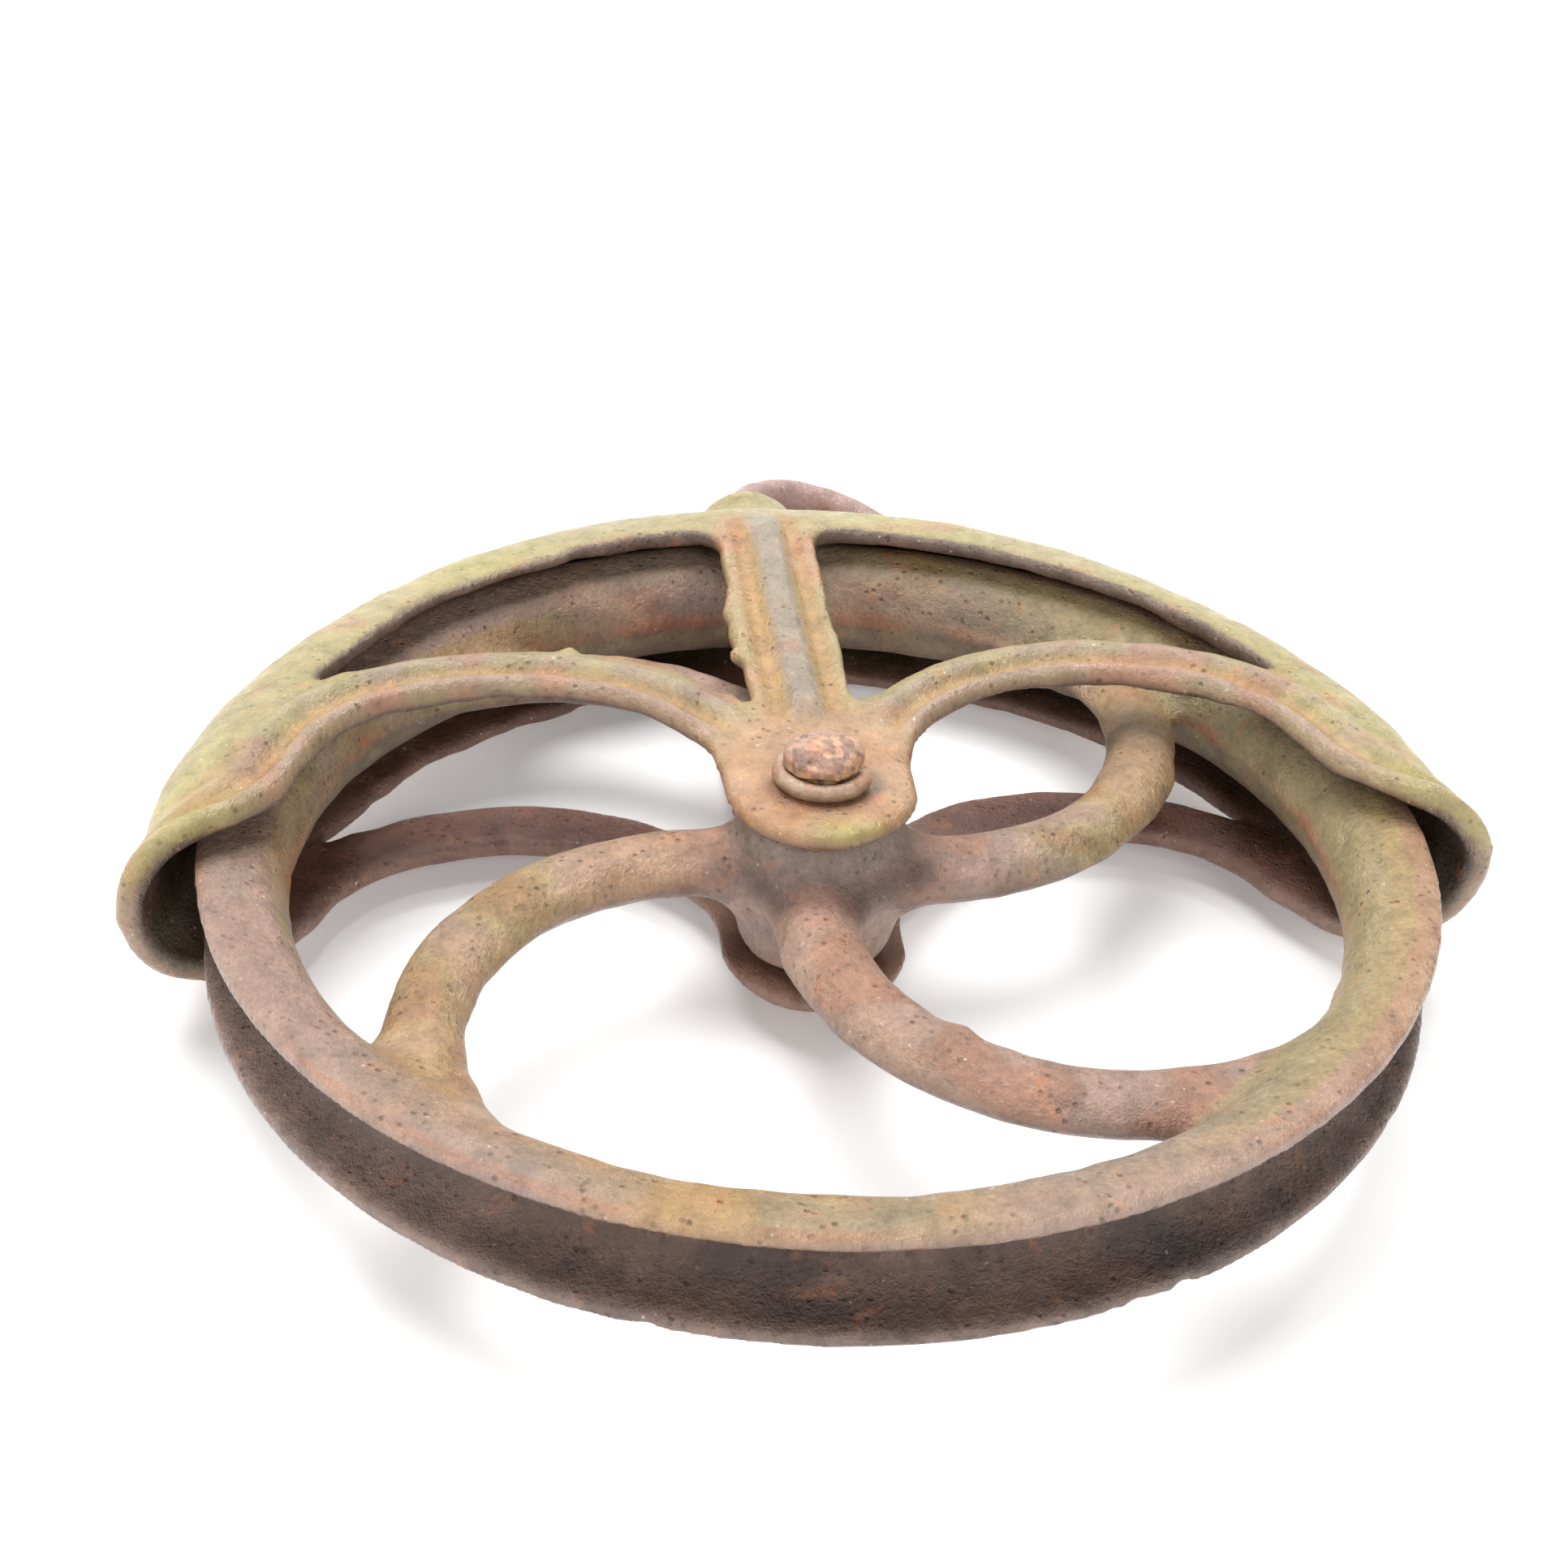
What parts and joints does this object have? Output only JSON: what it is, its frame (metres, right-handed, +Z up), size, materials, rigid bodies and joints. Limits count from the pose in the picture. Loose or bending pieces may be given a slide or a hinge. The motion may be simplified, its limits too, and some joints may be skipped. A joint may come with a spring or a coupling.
{
  "type": "hooded well pulley",
  "caption": "Antique cast-iron well-wheel pulley: grooved sheave with swirled spokes on a riveted axle in a one-piece hooded frame with a swivel hook.",
  "frame": {"origin": "centre of the flat lower end of the axle, on which the pulley lies", "axes": "+Z up along the axle, +Y from the axle towards the crown of the hood and the swivel hook, +X to the right"},
  "size_m": [0.2892, 0.3227, 0.0634],
  "materials": {
    "frame_iron": "weathered casting, olive and ochre patina over rust",
    "sheave_iron": "weathered casting, mauve-brown rust with olive patches",
    "pin_steel": "hammered rivet end, rusted and pitted",
    "ring_steel": "bent wire, brown rust",
    "hook_steel": "forged bar, brown rust"
  },
  "bodies": {
    "frame": {"hood_frame": "frame_iron", "axle_pin": "pin_steel", "upper_split_ring": "ring_steel", "lower_split_ring": "ring_steel"},
    "sheave": {"sheave": "sheave_iron"},
    "hook": {"swivel_hook": "hook_steel", "swivel_washer": "ring_steel"}
  },
  "joints": [
    {"name": "sheave_spin", "type": "hinge", "parent": "frame", "child": "sheave", "pos_m": [0, 0, 0.0332], "axis": [0, 0, 1], "continuous": true},
    {"name": "hook_swivel", "type": "hinge", "parent": "frame", "child": "hook", "pos_m": [0, 0.147, 0.0317], "axis": [0, 1, 0], "continuous": true}
  ]
}
